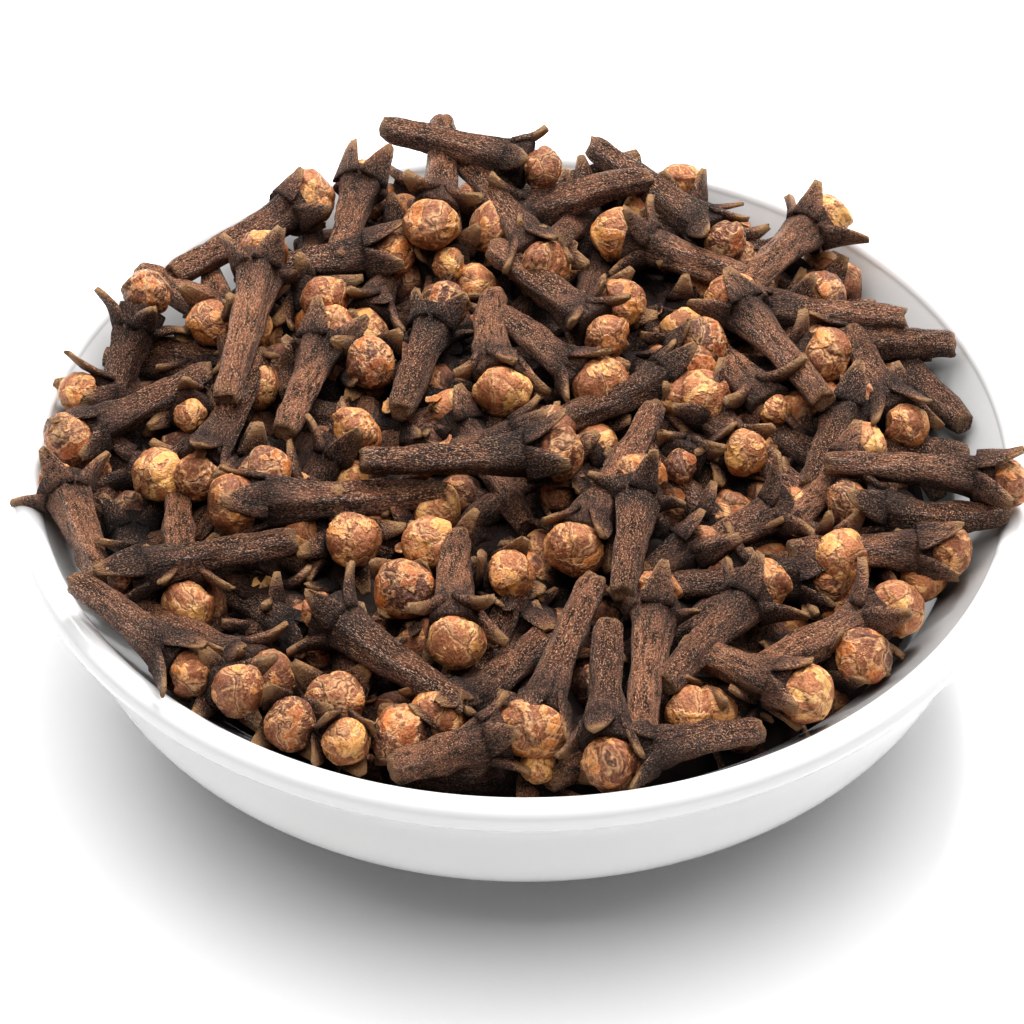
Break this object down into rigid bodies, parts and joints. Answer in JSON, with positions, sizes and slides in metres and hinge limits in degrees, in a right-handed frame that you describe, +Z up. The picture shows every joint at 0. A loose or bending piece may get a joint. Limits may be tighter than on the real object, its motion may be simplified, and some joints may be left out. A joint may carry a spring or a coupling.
{
  "type": "bowl of whole cloves",
  "caption": "Small white glazed bowl with a rounded lip, heaped with whole dried cloves.",
  "frame": {"origin": "middle of the foot ring's underside, on the surface the bowl stands on", "axes": "+Z up along the bowl's axis, -Y towards the front of the bowl as it is looked at"},
  "size_m": [0.0798, 0.0798, 0.0297],
  "materials": {
    "glaze": "glossy white porcelain glaze",
    "dried_clove": "dry, wrinkled dark brown stems with tan buds"
  },
  "bodies": {
    "root": {"bowl": "glaze", "cloves": "dried_clove"}
  },
  "joints": []
}
